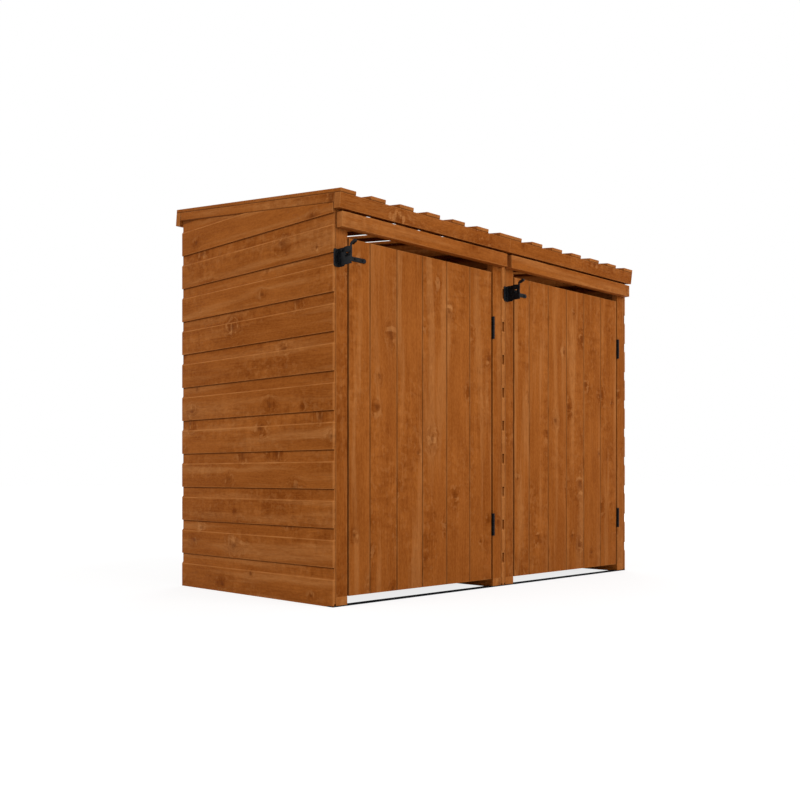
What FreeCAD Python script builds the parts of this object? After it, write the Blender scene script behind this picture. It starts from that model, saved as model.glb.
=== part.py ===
import FreeCAD, Part
import math
import os
import re
import Sketcher
from FreeCAD import Rotation, Vector

# Double wheelie bin store: two equal timber stores stand side by side on one steel ground bar.
# Each store has two shiplap side walls, a shiplap back, a slatted roof that falls to the front
# and one ledged door, hung on the right and latched on the left. There is no floor.
# One store is drawn once, with x = 0 at its left outer face, y = 0 at the front of its posts
# and z = 0 on the ground, and is placed twice. Millimetres and degrees.

SIZES = [
    ("module_width", 780, "outer width of one store"),
    ("frame_depth", 780, "front of the front posts to back of the back posts"),
    ("wall_front", 1168, "height of a side wall at its front"),
    ("roof_pitch", 6.85, "fall of the roof to the front, degrees"),
    ("timber_wide", 44, "wide side of the framing timber"),
    ("timber_thin", 28, "narrow side of the framing timber"),
    ("board_thick", 12, "thickness of the wall and door boards"),
    ("board_cover", 114, "width that one board covers"),
    ("board_face", 78, "height of a wall board's proud face"),
    ("board_bevel", 6, "height of the slope above the proud face"),
    ("board_relief", 4.5, "depth of the hollow above the slope"),
    ("lap_height", 9, "height of the lap between two wall boards"),
    ("lap_lip", 5, "thickness of the front lip of the lap"),
    ("lap_play", 0.2, "play in the lap"),
    ("panel_play", 0.3, "play of the back boards between the side walls"),
    ("bar_wide", 25, "width of the ground bar"),
    ("bar_thick", 3, "thickness of the ground bar"),
    ("bar_play", 0.3, "play behind the ground bar"),
    ("header_drop", 71, "header rail's underside below the front of the walls"),
    ("slat_wide", 60, "width of a roof slat"),
    ("slat_thick", 12, "thickness of a roof slat"),
    ("slat_count", 7, "roof slats on one store"),
    ("roof_front_gap", 2.3, "gap between the walls and the roof's front rail"),
    ("roof_back_gap", 10.5, "gap between the walls and the roof's back rail"),
    ("door_foot_gap", 28, "gap under the door"),
    ("door_head_gap", 22, "gap between the door and the header rail"),
    ("door_latch_gap", 5, "gap beside the door at its latch"),
    ("door_hinge_gap", 7, "gap beside the door at its hinges"),
    ("tongue_long", 5, "length of a door board's tongue"),
    ("tongue_thick", 4, "thickness of a door board's tongue"),
    ("tongue_play", 0.2, "play round the tongue"),
    ("joint_bevel", 1.5, "bevel on the front edges of a door board"),
    ("hinge_from_foot", 186, "lower edge of the door to the lower hinge's middle"),
    ("hinge_from_head", 190, "upper edge of the door to the upper hinge's middle"),
    ("hinge_tall", 76, "height of a hinge"),
    ("leaf_wide", 22, "width of a hinge leaf"),
    ("leaf_thick", 2, "thickness of a hinge leaf"),
    ("barrel_radius", 4.5, "outer radius of the hinge barrel"),
    ("barrel_stand", 0.5, "gap between the barrel and the front of the posts"),
    ("knuckle_count", 5, "knuckles of a hinge"),
    ("knuckle_play", 0.3, "gap between two knuckles"),
    ("hinge_pin_radius", 2.2, "radius of the hinge pin"),
    ("pin_play", 0.05, "radial play of the hinge pins and the latch pivot"),
    ("screw_radius", 1.8, "radius of a screw's shank"),
    ("screw_head", 3.6, "radius of a screw's head"),
    ("screw_sink", 1.8, "height of a sunk screw head"),
    ("screw_dome", 2.2, "height of a round screw head"),
    ("screw_long", 18, "length of a hinge screw and a catch screw in the timber"),
    ("strap_screw_long", 10, "length of a strap screw in the door boards"),
    ("screw_play", 0.15, "play of a screw in its hole"),
    ("leaf_screw_edge", 6, "hinge screws from the leaf's back edge"),
    ("leaf_screw_step", 27, "height between two hinge screws"),
    ("latch_drop", 80.5, "middle of the striker rod below the header rail"),
    ("catch_edge", 2, "left edge of the catch from the store's side"),
    ("catch_wide", 22, "width of the catch over its flange"),
    ("catch_thick", 2.5, "thickness of the catch's steel"),
    ("catch_drop", 28.5, "catch's lower edge below the middle of the rod"),
    ("catch_tall", 50, "height of the catch's plate"),
    ("catch_lip", 4, "how far the catch's plate stands past the lever"),
    ("catch_crest", 2, "rise of the plate's upper edge over the slot's end"),
    ("catch_heel", 21, "length of the deeper heel under the catch"),
    ("heel_drop", 4, "how far the heel reaches down"),
    ("flange_step", 2, "flange's upper edge below the plate's"),
    ("flange_bevel", 5, "cut corners of the catch's flange"),
    ("slot_play", 1, "play of the striker rod in the catch's slot"),
    ("pivot_in", 13, "latch pivot in front of the posts"),
    ("pivot_radius", 3, "radius of the latch pivot"),
    ("pivot_head", 4.5, "radius of the pivot's heads"),
    ("pivot_head_thick", 2, "thickness of the pivot's heads"),
    ("lever_play", 0.3, "side play of the lever"),
    ("lever_thick", 5, "thickness of the lever"),
    ("lever_eye", 6.5, "radius of the lever's eye"),
    ("lever_gap", 3, "gap between the striker rod and the lever over it"),
    ("hook_gap", 4, "gap between the striker rod and the hook in front of it"),
    ("hook_thick", 10, "depth of the hook, front to back"),
    ("hook_drop", 11.5, "hook's tip below the middle of the rod"),
    ("neck_thick", 4.5, "depth of the thumb tab's neck, front to back"),
    ("neck_tall", 9.5, "top of the lever to the root of the thumb tab"),
    ("tab_radius", 4.2, "half the thickness of the thumb tab"),
    ("tab_start", 2, "root of the thumb tab in front of the lever"),
    ("tab_run", 11.8, "thumb tab's root to its tip, forward"),
    ("tab_rise", 4.8, "thumb tab's root to its tip, upward"),
    ("tab_wide", 8, "width of the thumb tab"),
    ("rod_in", 31, "striker rod in front of the posts"),
    ("rod_radius", 5, "radius of the striker rod"),
    ("rod_past", 7, "end of the striker rod past the catch"),
    ("leg_gap", 13, "gap between the catch and the striker's leg"),
    ("leg_margin", 7, "leg past the middle of the rod"),
    ("strap_reach", 67, "length of the strap on the door"),
    ("strap_tall", 13, "height of the strap"),
    ("strap_thick", 3, "thickness of the strap"),
    ("strap_play", 0.3, "gap between the strap and the timber behind it"),
    ("strap_screw_end", 13, "end of the strap to its outer screw"),
    ("strap_screw_step", 30, "distance between the strap screws"),
]

# Places that follow from the sizes. One store is meant: x from its left side, y from the front
# of its posts, z from the ground. A run or a slope is measured in the plane of the roof.
PLACES = {
    "depth": "frame_depth + board_thick",
    "open_left": "board_thick + timber_wide",
    "open_right": "module_width - open_left",
    "wall_back": "wall_front + depth * tan(roof_pitch)",
    "header_base": "wall_front - header_drop",
    "back_post_y": "frame_depth - timber_thin",
    "roof_rail_drop": "timber_wide - timber_thin",
    "slope_start": "-roof_front_gap - timber_thin",
    "slope_back_rail": "depth / cos(roof_pitch) + roof_back_gap",
    "slope_end": "slope_back_rail + timber_thin",
    "back_reach": "slope_end * cos(roof_pitch) + roof_rail_drop * sin(roof_pitch)",
    "door_left": "open_left + door_latch_gap",
    "door_right": "open_right - door_hinge_gap",
    "door_top": "header_base - door_head_gap",
    "door_wide": "door_right - door_left",
    "door_tall": "door_top - door_foot_gap",
    "hinge_low": "door_foot_gap + hinge_from_foot",
    "hinge_high": "door_top - hinge_from_head",
    "stile_left": "door_right - timber_wide",
    "ledge_wide": "stile_left - door_left",
    "brace_base": "hinge_low + timber_wide / 2",
    "brace_tall": "hinge_high - timber_wide / 2 - brace_base",
    "brace_tilt": "atan(brace_tall / ledge_wide)",
    "brace_spare": "brace_tall / 4",
    "hinge_x": "open_right - door_hinge_gap / 2",
    "hinge_y": "-barrel_radius - barrel_stand",
    "knuckle_step": "hinge_tall / knuckle_count",
    "leaf_screw_y": "leaf_wide - leaf_screw_edge",
    "rod_z": "header_base - latch_drop",
    "slot_half": "rod_radius + slot_play",
    "catch_right": "catch_edge + catch_wide",
    "catch_plate_x": "catch_right - catch_thick",
    "catch_base": "rod_z - catch_drop",
    "catch_top": "catch_base + catch_tall",
    "heel_base": "catch_base - heel_drop",
    "flange_top": "catch_top - flange_step",
    "flange_tall": "flange_top - heel_base",
    "catch_screw_x": "(catch_plate_x + board_thick) / 2",
    "lever_deep": "rod_in + rod_radius + hook_gap + hook_thick",
    "catch_deep": "lever_deep + catch_lip",
    "lever_x": "catch_right + lever_play",
    "pivot_z": "rod_z + rod_radius + lever_gap + lever_eye",
    "lever_top": "pivot_z + lever_eye",
    "tab_z": "lever_top + neck_tall",
    "tab_tilt": "atan(tab_rise / tab_run)",
    "latch_reach": "lever_deep + tab_start + tab_run + tab_radius",
    "leg_x": "catch_right + leg_gap",
    "leg_front": "-rod_in - leg_margin",
    "strap_right": "door_left + strap_reach",
    "strap_end": "strap_right - strap_tall / 2",
    "strap_front": "-strap_thick - strap_play",
    "strap_base": "rod_z - strap_tall / 2",
    # The origin is under the middle of the bounding box, which runs from the thumb tab's tip to
    # the foot of the roof's back rail, so this is where the front of the posts lies.
    "front_y": "(latch_reach - back_reach) / 2",
}
# The left side of each store.
STORES = {"left": "-module_width", "right": "0"}

X_AXIS = Vector(1, 0, 0)
Y_AXIS = Vector(0, 1, 0)
Z_AXIS = Vector(0, 0, 1)

doc = FreeCAD.newDocument("BinStore")
sheet = doc.addObject("Spreadsheet::Sheet", "Sizes")
for row, (alias, amount, note) in enumerate(SIZES, start=1):
    sheet.set("A%d" % row, note)
    sheet.set("B%d" % row, str(amount))
    sheet.setAlias("B%d" % row, alias)
doc.recompute()
ALIASES = {alias for alias, amount, note in SIZES}


def bound(formula):
    """The formula with each size's name pointing at its cell and each place written out."""
    def meaning(found):
        word = found.group(0)
        if word in PLACES:
            return "(%s)" % bound(PLACES[word])
        return "Sizes." + word if word in ALIASES else word
    return re.sub(r"[a-z]+(?:_[a-z]+)*", meaning, formula)


def amount_of(formula):
    """The formula's value in millimetres."""
    return float(sheet.evalExpression(bound(formula)))


def bind(item, **formulas):
    """Ties properties of one object to the sheet."""
    for name, formula in formulas.items():
        item.setExpression(name.replace("__", "."), bound(formula))
    return item


def put(item, x="0", y="0", z="0"):
    """Ties an object's place to the sheet."""
    return bind(item, Placement__Base__x=x, Placement__Base__y=y, Placement__Base__z=z)


def box(label, x, y, z, wide, deep, tall):
    """A straight block, from its lower left front corner."""
    block = doc.addObject("Part::Box", label)
    bind(block, Length=wide, Width=deep, Height=tall)
    return put(block, x, y, z)


def roof_box(label, x, along, up, wide, run, tall):
    """A block in the roof's slope: along is measured up the slope, up is square to it."""
    block = doc.addObject("Part::Box", label)
    block.Placement = FreeCAD.Placement(Vector(), Rotation(X_AXIS, 1))
    bind(block, Length=wide, Width=run, Height=tall, Placement__Rotation__Angle="roof_pitch")
    return put(
        block,
        x,
        "(%s) * cos(roof_pitch) - (%s) * sin(roof_pitch)" % (along, up),
        "wall_front + (%s) * sin(roof_pitch) + (%s) * cos(roof_pitch)" % (along, up),
    )


def rod(label, x, y, z, radius, length, axis=X_AXIS):
    """A round bar along one axis, from the middle of its first end."""
    bar = doc.addObject("Part::Cylinder", label)
    bar.Placement = FreeCAD.Placement(Vector(), Rotation(Z_AXIS, axis))
    bind(bar, Radius=radius, Height=length)
    return put(bar, x, y, z)


def cone(label, x, y, z, first, second, length, axis=X_AXIS):
    """A tapered round bar along one axis, from the middle of its first end."""
    taper = doc.addObject("Part::Cone", label)
    taper.Placement = FreeCAD.Placement(Vector(), Rotation(Z_AXIS, axis))
    bind(taper, Radius1=first, Radius2=second, Height=length)
    return put(taper, x, y, z)


def together(label, pieces):
    """Several pieces joined into one solid."""
    joined = doc.addObject("Part::MultiFuse", label)
    joined.Shapes = pieces
    joined.Refine = True
    return joined


def group(label, pieces):
    """Several pieces that stay separate solids."""
    kept = doc.addObject("Part::Compound", label)
    kept.Links = pieces
    return kept


def without(label, piece, tool):
    """A piece with another one's volume taken out of it."""
    rest = doc.addObject("Part::Cut", label)
    rest.Base = piece
    rest.Tool = tool
    return rest


def shared(label, piece, limit):
    """The part of a piece that lies inside another one."""
    part = doc.addObject("Part::Common", label)
    part.Base = piece
    part.Tool = limit
    return part


def again(label, piece, x="0", y="0", z="0", turn=None):
    """The same piece once more, at another place."""
    copy = doc.addObject("App::Link", label)
    copy.LinkedObject = piece
    copy.Placement = FreeCAD.Placement(Vector(), turn or Rotation())
    return put(copy, x, y, z)


def padded(label, plane, corners, length):
    """A bar of constant section: its outline lies in one plane through the origin."""
    body = doc.addObject("PartDesign::Body", label)
    sketch = body.newObject("Sketcher::SketchObject", label + "_outline")
    origin_plane = [item for item in body.Origin.OriginFeatures if item.Role == plane][0]
    sketch.AttachmentSupport = [(origin_plane, "")]
    sketch.MapMode = "FlatFace"
    points = [Vector(amount_of(across), amount_of(up), 0) for across, up in corners]
    for number, point in enumerate(points):
        sketch.addGeometry(Part.LineSegment(point, points[(number + 1) % len(points)]))
    for number, (across, up) in enumerate(corners):
        sketch.addConstraint(
            Sketcher.Constraint("Coincident", number, 2, (number + 1) % len(points), 1))
        for kind, formula, start in (("DistanceX", across, points[number].x),
                                     ("DistanceY", up, points[number].y)):
            tie = sketch.addConstraint(Sketcher.Constraint(kind, -1, 1, number, 1, start))
            sketch.setExpression("Constraints[%d]" % tie, bound(formula))
    pad = body.newObject("PartDesign::Pad", label + "_length")
    pad.Profile = sketch
    bind(pad, Length=length)
    pad.Reversed = plane == "XZ_Plane"
    return body


NODES = []


def node(label, store, pieces):
    """One sub-part of one store: its pieces, placed where that store stands."""
    part = group("%s_%s" % (store, label), pieces)
    put(part, STORES[store], "front_y")
    NODES.append(part)


def both(label, pieces):
    """The same sub-part in the left store and in the right one."""
    for store in STORES:
        node(label, store, pieces)


def one_for_both(label, pieces):
    """One sub-part that holds the same small pieces of both stores."""
    kind = group(label + "_of_a_store", pieces)
    NODES.append(group(label, [
        again("%s_%s" % (label, store), kind, place, "front_y") for store, place in STORES.items()
    ]))


# Shiplap wall boards: a proud face, a slope, a hollow, and a lap hidden behind the next board.

SHIPLAP = [
    ("0", "0"),
    ("lap_lip", "0"),
    ("lap_lip", "lap_height"),
    ("board_thick", "lap_height"),
    ("board_thick", "board_cover + lap_height - lap_play"),
    ("lap_lip + lap_play", "board_cover + lap_height - lap_play"),
    ("lap_lip + lap_play", "board_cover"),
    ("board_relief", "board_cover"),
    ("board_relief", "board_face + board_bevel"),
    ("0", "board_face"),
]
above_walls = roof_box("above_walls", "-board_cover", "-board_cover", "0",
                       "module_width + 2 * board_cover", "2 * depth", "4 * board_cover")
bar_room = box("bar_room", "-board_thick", "-board_thick", "-bar_thick",
               "module_width + 2 * board_thick", "board_thick + bar_wide + bar_play",
               "2 * bar_thick")
COURSES = math.ceil(amount_of("(wall_back - 2 * lap_height) / board_cover"))


def courses(label, board, x, y, turn=None, over_bar=True):
    """A wall of boards laid one above the other, its top cut along the roof's slope."""
    boards = []
    for course in range(COURSES):
        name = "%s_%d" % (label, course + 1)
        base = "%d * board_cover" % course
        piece = again(name, board, x, y, base, turn)
        if course == 0 and over_bar:
            piece = without(name + "_notched", piece, bar_room)
        if amount_of(base + " + board_cover + lap_height - wall_front") > 0:
            piece = without(name + "_sloped", piece, above_walls)
        boards.append(piece)
    return boards


side_board = padded("side_board", "XZ_Plane", SHIPLAP, "depth")
back_board = padded("back_board", "XZ_Plane", SHIPLAP,
                    "module_width - 2 * board_thick - 2 * panel_play")
both("latch_side_boards", courses("latch_side", side_board, "0", "0"))
both("hinge_side_boards",
     courses("hinge_side", side_board, "module_width", "depth", Rotation(Z_AXIS, 180)))
both("back_boards",
     courses("back", back_board, "board_thick + panel_play", "depth", Rotation(Z_AXIS, -90), False))

# Side frames: a rail on the ground, a post on each end of it and a sloping rail on the posts.

above_posts = roof_box("above_posts", "-board_cover", "-board_cover", "-timber_thin",
                       "module_width + 2 * board_cover", "2 * depth", "4 * board_cover")
TOP_RAIL_RUN = "frame_depth / cos(roof_pitch) - timber_thin * tan(roof_pitch)"

for side, x in (("latch", "board_thick"), ("hinge", "open_right")):
    for end, y in (("front", "0"), ("back", "back_post_y")):
        stock = box("%s_%s_stock" % (side, end), x, y, "timber_thin",
                    "timber_wide", "timber_thin", "wall_back - timber_thin")
        both("%s_%s_post" % (side, end), [without("%s_%s_cut" % (side, end), stock, above_posts)])
    foot = box("%s_foot" % side, x, "0", "0", "timber_wide", "frame_depth", "timber_thin")
    both("%s_bottom_rail" % side, [without("%s_foot_notched" % side, foot, bar_room)])
    both("%s_top_rail" % side,
         [roof_box("%s_top" % side, x, "0", "-timber_thin", "timber_wide", TOP_RAIL_RUN,
                   "timber_thin")])

# Two rails join the back posts, one on the ground and one under the slope.

both("back_rails", [
    box("back_rail_" + place, "open_left", "back_post_y", base,
        "open_right - open_left", "timber_thin", "timber_wide")
    for place, base in (("low", "0"),
                        ("high", "wall_front + back_post_y * tan(roof_pitch) - timber_wide"))
])

# The header rail is fixed in front of the two front posts.

both("header_rail", [box("header", "board_thick", "-timber_thin", "header_base",
                         "module_width - 2 * board_thick", "timber_thin", "timber_wide")])

# Roof: a front rail and a back rail on edge, two side rails laid flat, and slats across them.

for end, along in (("front", "slope_start"), ("back", "slope_back_rail")):
    both("roof_%s_rail" % end, [roof_box("roof_" + end, "0", along, "-roof_rail_drop",
                                         "module_width", "timber_thin", "timber_wide")])
for side, x in (("latch", "0"), ("hinge", "module_width - timber_wide")):
    both("roof_%s_rail" % side, [roof_box("roof_" + side, x, "-roof_front_gap", "0", "timber_wide",
                                          "slope_back_rail + roof_front_gap", "timber_thin")])
slats = []
for number in range(round(amount_of("slat_count"))):
    left = "%d * (module_width - slat_wide) / (slat_count - 1)" % number
    slats.append(roof_box("slat_%d" % (number + 1), left, "slope_start", "timber_thin",
                          "slat_wide", "slope_end - slope_start", "slat_thick"))
both("roof_slats", slats)

# Door: tongued boards, of which the first is ripped narrower and the last has lost its tongue.

TONGUE_FRONT = "(board_thick - tongue_thick) / 2"
TONGUE_BACK = "(board_thick + tongue_thick) / 2"
door_board = padded("door_board", "XY_Plane", [
    ("joint_bevel", "0"),
    ("board_cover - joint_bevel", "0"),
    ("board_cover", "joint_bevel"),
    ("board_cover", TONGUE_FRONT),
    ("board_cover + tongue_long", TONGUE_FRONT),
    ("board_cover + tongue_long", TONGUE_BACK),
    ("board_cover", TONGUE_BACK),
    ("board_cover", "board_thick"),
    ("0", "board_thick"),
    ("0", TONGUE_BACK + " + tongue_play"),
    ("tongue_long + tongue_play", TONGUE_BACK + " + tongue_play"),
    ("tongue_long + tongue_play", TONGUE_FRONT + " - tongue_play"),
    ("0", TONGUE_FRONT + " - tongue_play"),
    ("0", "joint_bevel"),
], "door_tall")
door_limit = box("door_limit", "door_left", "0", "door_foot_gap",
                 "door_wide", "board_thick", "door_tall")
door_boards = []
board_count = math.ceil(amount_of("door_wide / board_cover"))
for number in range(board_count):
    name = "door_board_%d" % (number + 1)
    piece = again(name, door_board, "door_right - %d * board_cover" % (board_count - number),
                  "0", "door_foot_gap")
    if number in (0, board_count - 1):
        piece = shared(name + "_trimmed", piece, door_limit)
    door_boards.append(piece)
both("door_boards", door_boards)

# Behind the boards: a stile at the hinges, two ledges at hinge height and a brace between them.

stile = box("door_stile", "stile_left", "board_thick", "door_foot_gap",
            "timber_wide", "timber_thin", "door_tall")
ledges = [
    box("door_ledge_" + place, "door_left", "board_thick", "%s - timber_wide / 2" % height,
        "ledge_wide", "timber_thin", "timber_wide")
    for place, height in (("low", "hinge_low"), ("high", "hinge_high"))
]
both("door_frame", [stile] + ledges)

brace_space = box("brace_space", "door_left", "board_thick", "brace_base",
                  "ledge_wide", "timber_thin", "brace_tall")
brace_stock = doc.addObject("Part::Box", "brace_stock")
brace_stock.Placement = FreeCAD.Placement(Vector(), Rotation(Y_AXIS, 1))
bind(brace_stock, Length="2 * brace_tall + 2 * brace_spare", Width="timber_thin",
     Height="timber_wide", Placement__Rotation__Angle="180 deg + brace_tilt")
put(brace_stock,
    "stile_left + brace_spare * cos(brace_tilt) + timber_wide / 2 * sin(brace_tilt)",
    "board_thick",
    "brace_base - brace_spare * sin(brace_tilt) + timber_wide / 2 * cos(brace_tilt)")
both("door_brace", [shared("brace_fitted", brace_stock, brace_space)])

# Screws: a shank and a head, drawn along z with the head's seat at zero.

sunk_screw = together("sunk_screw", [
    cone("sunk_head", "0", "0", "-screw_sink", "screw_head", "screw_radius", "screw_sink", Z_AXIS),
    rod("sunk_shank", "0", "0", "-screw_sink / 2", "screw_radius",
        "screw_long + screw_sink / 2", Z_AXIS),
])


def round_screw(label, plate, length):
    """A screw with a round head on a plate of the given thickness."""
    return together(label, [
        rod(label + "_rim", "0", "0", "-(%s) - screw_dome / 2" % plate, "screw_head",
            "screw_dome / 2", Z_AXIS),
        cone(label + "_crown", "0", "0", "-(%s) - screw_dome" % plate, "screw_head / 2",
             "screw_head", "screw_dome / 2", Z_AXIS),
        rod(label + "_shank", "0", "0", "-(%s) - screw_dome / 2" % plate, "screw_radius",
            "%s + %s + screw_dome / 2" % (plate, length), Z_AXIS),
    ])


catch_screw = round_screw("catch_screw", "catch_thick", "screw_long")
strap_screw = round_screw("strap_screw", "strap_thick + strap_play", "strap_screw_long")

# Butt hinges: each leaf lies in the gap beside the door and curls round the pin in front of it.

HINGES = [("low", "hinge_low"), ("high", "hinge_high")]
INTO_POST = Rotation(Z_AXIS, X_AXIS)
INTO_DOOR = Rotation(Z_AXIS, Vector(-1, 0, 0))
INTO_FRONT = Rotation(Z_AXIS, Y_AXIS)
leaf_bore = rod("leaf_bore", "hinge_x", "hinge_y", "-hinge_tall",
                "hinge_pin_radius + pin_play", "2 * hinge_tall", Z_AXIS)


def leaf(label, plate_left, own_knuckles, screw_seat, turn):
    """One leaf, at the height of its own middle, with three sunk screw holes."""
    pieces = [box(label + "_plate", plate_left, "0", "-hinge_tall / 2",
                  "leaf_thick", "leaf_wide", "hinge_tall")]
    for knuckle in own_knuckles:
        name = "%s_knuckle_%d" % (label, knuckle + 1)
        base = "%d * knuckle_step - hinge_tall / 2 + knuckle_play / 2" % knuckle
        tall = "knuckle_step - knuckle_play"
        pieces.append(rod(name, "hinge_x", "hinge_y", base, "barrel_radius", tall, Z_AXIS))
        pieces.append(box(name + "_root", plate_left, "hinge_y", base,
                          "leaf_thick", "-hinge_y", tall))
    holes = [leaf_bore]
    for step in (-1, 0, 1):
        name = "%s_hole_%d" % (label, step + 2)
        drill = together(name, [
            cone(name + "_sink", "0", "0", "-screw_sink - screw_play", "screw_head + screw_play",
                 "screw_radius + screw_play", "screw_sink", Z_AXIS),
            rod(name + "_shank", "0", "0", "-leaf_thick", "screw_radius + screw_play",
                "2 * leaf_thick", Z_AXIS),
            rod(name + "_mouth", "0", "0", "-2 * leaf_thick", "screw_head + screw_play",
                "2 * leaf_thick - screw_sink - screw_play", Z_AXIS),
        ])
        holes.append(again(name + "_placed", drill, screw_seat, "leaf_screw_y",
                           "%d * leaf_screw_step" % step, turn))
    return without(label, together(label + "_solid", pieces), group(label + "_holes", holes))


knuckles = range(round(amount_of("knuckle_count")))
post_leaf = leaf("post_leaf", "open_right - leaf_thick", knuckles[0::2], "open_right", INTO_POST)
door_leaf = leaf("door_leaf", "door_right", knuckles[1::2], "door_right", INTO_DOOR)
for name, piece in (("hinge_post_leaves", post_leaf), ("hinge_door_leaves", door_leaf)):
    both(name, [again("%s_%s" % (name, place), piece, z=height) for place, height in HINGES])
both("hinge_pins", [
    rod("hinge_pin_" + place, "hinge_x", "hinge_y", "%s - hinge_tall / 2" % height,
        "hinge_pin_radius", "hinge_tall", Z_AXIS)
    for place, height in HINGES
])


def hinge_screws(label, x, turn):
    """The three screws of one leaf, at both hinges."""
    return [
        again("%s_%s_%d" % (label, place, step + 2), sunk_screw, x, "leaf_screw_y",
              "%s + %d * leaf_screw_step" % (height, step), turn)
        for place, height in HINGES for step in (-1, 0, 1)
    ]


# Catch: an angle of sheet steel on the latch post. Its plate stands forward with a slot for the
# striker rod, which is open to the front, and a deeper heel at the post.

catch_plate = padded("catch_plate", "YZ_Plane", [
    ("0", "heel_base"),
    ("0", "catch_top"),
    ("-catch_heel", "catch_top"),
    ("-rod_in", "catch_top + catch_crest"),
    ("-catch_deep", "catch_top"),
    ("-catch_deep", "catch_base"),
    ("-catch_heel - heel_drop", "catch_base"),
    ("-catch_heel", "heel_base"),
], "catch_thick")
catch_flange = padded("catch_flange", "XZ_Plane", [
    ("catch_edge", "heel_base + flange_bevel"),
    ("catch_edge + flange_bevel", "heel_base"),
    ("catch_right", "heel_base"),
    ("catch_right", "flange_top"),
    ("catch_edge + flange_bevel / 2", "flange_top"),
    ("catch_edge", "flange_top - flange_bevel / 2"),
], "catch_thick")
catch_whole = together("catch_whole", [
    again("catch_plate_placed", catch_plate, x="catch_plate_x"),
    again("catch_flange_placed", catch_flange, y="-catch_thick"),
])
catch_screw_heights = ["heel_base + flange_tall / 5", "heel_base + flange_tall * 4 / 5"]
catch_holes = group("catch_holes", [
    box("slot_mouth", "catch_edge", "-2 * catch_deep", "rod_z - slot_half",
        "2 * catch_wide", "2 * catch_deep - rod_in", "2 * slot_half"),
    rod("slot_round", "catch_edge", "-rod_in", "rod_z", "slot_half", "2 * catch_wide"),
    rod("pivot_hole", "catch_edge", "-pivot_in", "pivot_z", "pivot_radius + pin_play",
        "2 * catch_wide"),
] + [
    rod("catch_screw_hole_%d" % number, "catch_screw_x", "-2 * catch_thick", height,
        "screw_radius + screw_play", "3 * catch_thick", Y_AXIS)
    for number, height in enumerate(catch_screw_heights, start=1)
])
both("latch_plate", [without("catch", catch_whole, catch_holes)])

# The lever's pivot: a riveted pin through the plate and the lever.

one_for_both("latch_pivots", [together("pivot", [
    rod("pivot_shank", "catch_plate_x - pivot_head_thick", "-pivot_in", "pivot_z", "pivot_radius",
        "catch_thick + 2 * lever_play + lever_thick + 2 * pivot_head_thick"),
    rod("pivot_left_head", "catch_plate_x - pivot_head_thick", "-pivot_in", "pivot_z",
        "pivot_head", "pivot_head_thick"),
    rod("pivot_right_head", "lever_x + lever_thick + lever_play", "-pivot_in", "pivot_z",
        "pivot_head", "pivot_head_thick"),
])])

# Lever: an arm from the pivot to a hook in front of the rod, and a neck with a rounded thumb tab.

lever_arm = padded("lever_arm", "YZ_Plane", [
    ("-pivot_in", "lever_top"),
    ("-lever_deep + neck_thick", "lever_top"),
    ("-lever_deep + neck_thick", "tab_z"),
    ("-lever_deep", "tab_z"),
    ("-lever_deep", "rod_z - hook_drop + hook_thick / 3"),
    ("-lever_deep + hook_thick / 3", "rod_z - hook_drop"),
    ("-lever_deep + hook_thick", "rod_z - hook_drop + hook_thick / 3"),
    ("-lever_deep + hook_thick", "pivot_z - lever_eye"),
    ("-pivot_in", "pivot_z - lever_eye"),
], "lever_thick")
tab_bridge = doc.addObject("Part::Box", "tab_bridge")
tab_bridge.Placement = FreeCAD.Placement(Vector(), Rotation(X_AXIS, 1))
bind(tab_bridge, Length="tab_wide", Width="tab_run / cos(tab_tilt)", Height="2 * tab_radius",
     Placement__Rotation__Angle="180 deg - tab_tilt")
put(tab_bridge, "lever_x",
    "-lever_deep - tab_start + tab_radius * sin(tab_tilt)",
    "tab_z + tab_radius * cos(tab_tilt)")
lever_whole = together("lever_whole", [
    again("lever_arm_placed", lever_arm, x="lever_x"),
    rod("lever_eye_disc", "lever_x", "-pivot_in", "pivot_z", "lever_eye", "lever_thick"),
    rod("tab_root_round", "lever_x", "-lever_deep - tab_start", "tab_z", "tab_radius", "tab_wide"),
    rod("tab_tip_round", "lever_x", "-lever_deep - tab_start - tab_run", "tab_z + tab_rise",
        "tab_radius", "tab_wide"),
    tab_bridge,
])
lever_bore = rod("lever_bore", "0", "-pivot_in", "pivot_z", "pivot_radius + pin_play",
                 "2 * catch_right")
both("latch_lever", [without("lever", lever_whole, lever_bore)])

# Striker: a strap on the door, bent forward into a leg that carries the rod.

strap_screw_places = ["strap_right - strap_screw_end",
                      "strap_right - strap_screw_end - strap_screw_step"]
striker_whole = together("striker_whole", [
    box("strap", "leg_x", "strap_front", "strap_base", "strap_end - leg_x", "strap_thick",
        "strap_tall"),
    rod("strap_end_round", "strap_end", "strap_front", "rod_z", "strap_tall / 2", "strap_thick",
        Y_AXIS),
    box("striker_leg", "leg_x", "leg_front", "strap_base", "strap_thick",
        "-leg_front - strap_play", "strap_tall"),
    rod("striker_rod", "catch_right - rod_past", "-rod_in", "rod_z", "rod_radius",
        "rod_past + leg_gap + strap_thick / 2"),
])
strap_holes = group("strap_holes", [
    rod("strap_hole_%d" % number, x, "2 * strap_front", "rod_z", "screw_radius + screw_play",
        "-2 * strap_front", Y_AXIS)
    for number, x in enumerate(strap_screw_places, start=1)
])
both("striker", [without("striker_drilled", striker_whole, strap_holes)])

# Screws of the frame: catch and post leaves. Screws of a door: strap and door leaves.

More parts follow.
